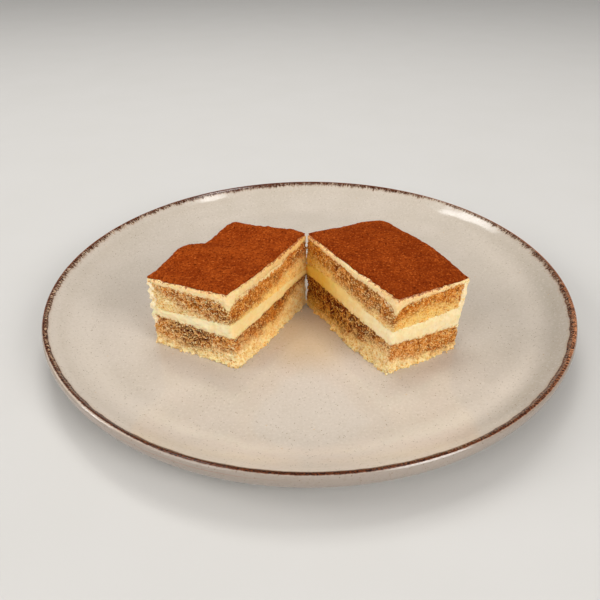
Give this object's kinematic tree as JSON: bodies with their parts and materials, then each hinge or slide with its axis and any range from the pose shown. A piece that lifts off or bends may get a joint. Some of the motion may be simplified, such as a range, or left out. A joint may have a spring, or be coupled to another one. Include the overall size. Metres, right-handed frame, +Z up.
{
  "type": "tiramisu portion",
  "caption": "Tiramisu portion cut in halves, layers of soaked sponge and cream under cocoa, served on a round stoneware dinner plate with a brown rim.",
  "frame": {"origin": "centre of the plate at the bottom of its foot ring", "axes": "+Z up, +Y away from the eater towards the side where the halves meet, +X to the eater's right"},
  "size_m": [0.28, 0.28, 0.0538],
  "materials": {
    "plate_glaze": "glossy beige speckled glaze with a feathered brown band on the rim",
    "soaked_sponge": "open, moist crumb, brown where it is soaked and pale yellow at its underside",
    "cream": "soft, slightly moist pale yellow cream, torn a little by the knife",
    "cocoa": "matt sifted powder, slightly ridged and grainy"
  },
  "bodies": {
    "root": {"plate": "plate_glaze", "sponge_lower_left": "soaked_sponge", "cream_middle_left": "cream", "sponge_upper_left": "soaked_sponge", "cream_top_left": "cream", "cocoa_left": "cocoa", "sponge_lower_right": "soaked_sponge", "cream_middle_right": "cream", "sponge_upper_right": "soaked_sponge", "cream_top_right": "cream", "cocoa_right": "cocoa"}
  },
  "joints": []
}
